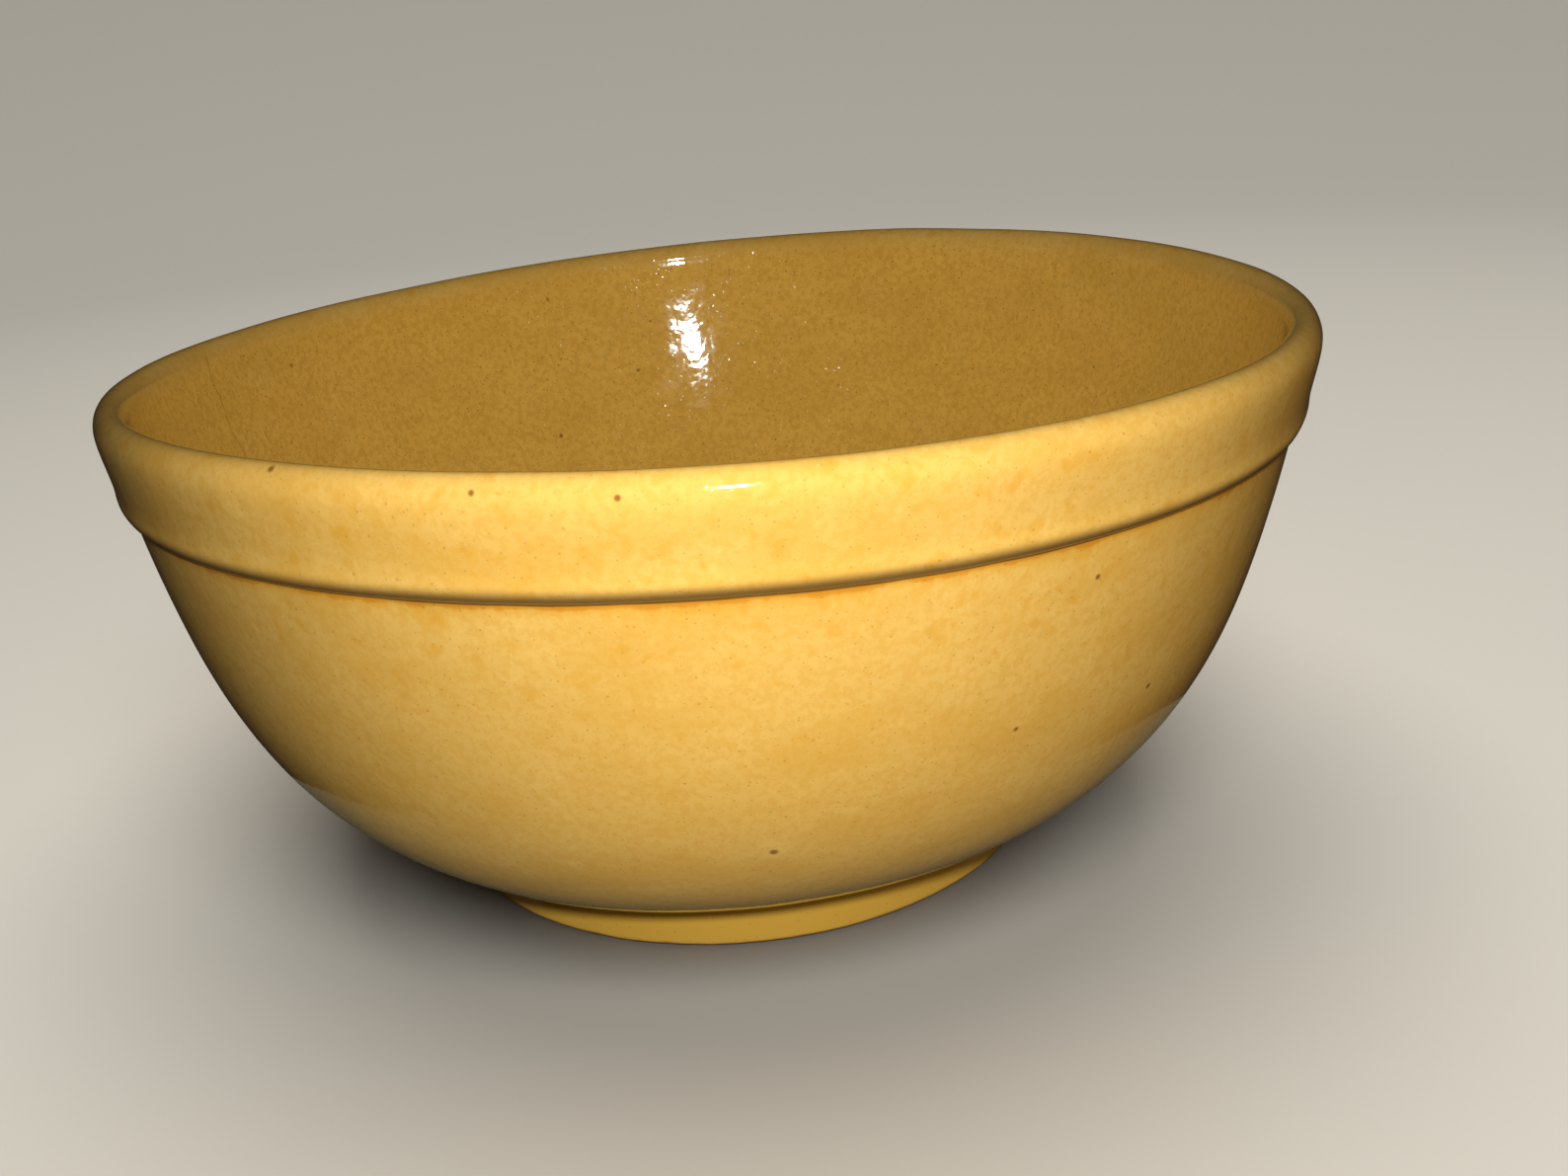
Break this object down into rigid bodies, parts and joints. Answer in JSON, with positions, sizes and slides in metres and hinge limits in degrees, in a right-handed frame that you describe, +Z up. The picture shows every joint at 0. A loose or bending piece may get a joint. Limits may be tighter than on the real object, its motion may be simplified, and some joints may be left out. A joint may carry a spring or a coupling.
{
  "type": "mixing bowl",
  "caption": "Large glazed yellow ware mixing bowl with an upright collar round the rim, a deep rounded body and a low foot ring.",
  "frame": {"origin": "centre of the circle that the foot ring stands on", "axes": "+Z up along the bowl's axis of revolution; X and Y are level and alike, because the bowl is round"},
  "size_m": [0.356, 0.356, 0.16],
  "materials": {
    "yellow_glaze": "glossy mustard-yellow glaze with fine dark specks, amber where it pools, over buff clay that is bare under the foot"
  },
  "bodies": {
    "root": {"bowl": "yellow_glaze"}
  },
  "joints": []
}
